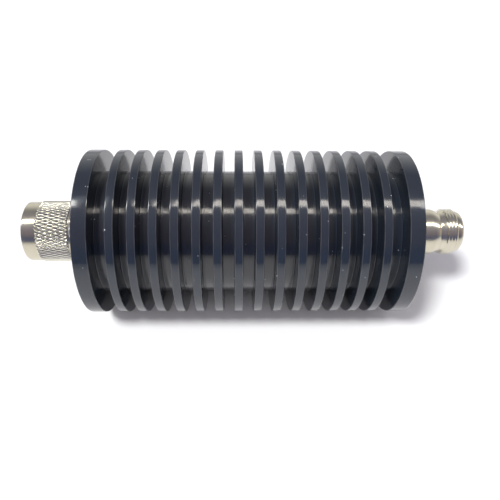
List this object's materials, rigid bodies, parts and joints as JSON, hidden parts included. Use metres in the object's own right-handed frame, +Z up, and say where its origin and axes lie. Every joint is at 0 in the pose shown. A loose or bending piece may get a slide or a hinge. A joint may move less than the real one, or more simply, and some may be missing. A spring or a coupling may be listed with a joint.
{
  "type": "fixed rf attenuator",
  "caption": "Inline coaxial power attenuator: round finned heat sink with a plug and knurled coupling nut at one end and a threaded jack at the other.",
  "frame": {"origin": "on the axis, halfway between the front of the coupling nut and the front of the jack", "axes": "+X along the axis towards the jack, with the plug towards -X; +Z up as the part lies in the picture"},
  "size_m": [0.1486, 0.0556, 0.0556],
  "materials": {
    "black_anodised_aluminium": "black anodised, semi-gloss, turned",
    "nickel_plated_brass": "bright nickel plating on turned brass",
    "gold_plated_bronze": "gold plated",
    "stainless_steel": "machined stainless steel",
    "bare_aluminium": "machined, uncoated",
    "white_ptfe": "satin white",
    "red_silicone": "matte silicone rubber",
    "beige_ceramic": "fired ceramic with printed film"
  },
  "bodies": {
    "attenuator_body": {"heat_sink": "black_anodised_aluminium", "plug_body": "nickel_plated_brass", "nut_retaining_ring": "stainless_steel", "plug_gasket": "red_silicone", "plug_outer_contact": "nickel_plated_brass", "plug_insulator": "white_ptfe", "plug_centre_pin": "gold_plated_bronze", "plug_flange_screw_1": "stainless_steel", "plug_flange_screw_2": "stainless_steel", "plug_flange_screw_3": "stainless_steel", "plug_flange_screw_4": "stainless_steel", "jack_body": "nickel_plated_brass", "jack_insulator": "white_ptfe", "jack_centre_contact": "gold_plated_bronze", "jack_flange_screw_1": "stainless_steel", "jack_flange_screw_2": "stainless_steel", "jack_flange_screw_3": "stainless_steel", "jack_flange_screw_4": "stainless_steel", "carrier_base": "bare_aluminium", "carrier_lid": "bare_aluminium", "carrier_screw_1": "stainless_steel", "carrier_screw_2": "stainless_steel", "carrier_screw_3": "stainless_steel", "carrier_screw_4": "stainless_steel", "input_chip": "beige_ceramic", "middle_chip": "beige_ceramic", "output_chip": "beige_ceramic", "input_link": "gold_plated_bronze", "output_link": "gold_plated_bronze", "input_line": "gold_plated_bronze", "output_line": "gold_plated_bronze", "input_line_support": "white_ptfe", "output_line_support": "white_ptfe"},
    "nut": {"coupling_nut": "nickel_plated_brass"}
  },
  "joints": [
    {"name": "coupling_nut_spin", "type": "hinge", "parent": "attenuator_body", "child": "nut", "pos_m": [-0.0658, 0, 0], "axis": [1, 0, 0], "continuous": true}
  ]
}
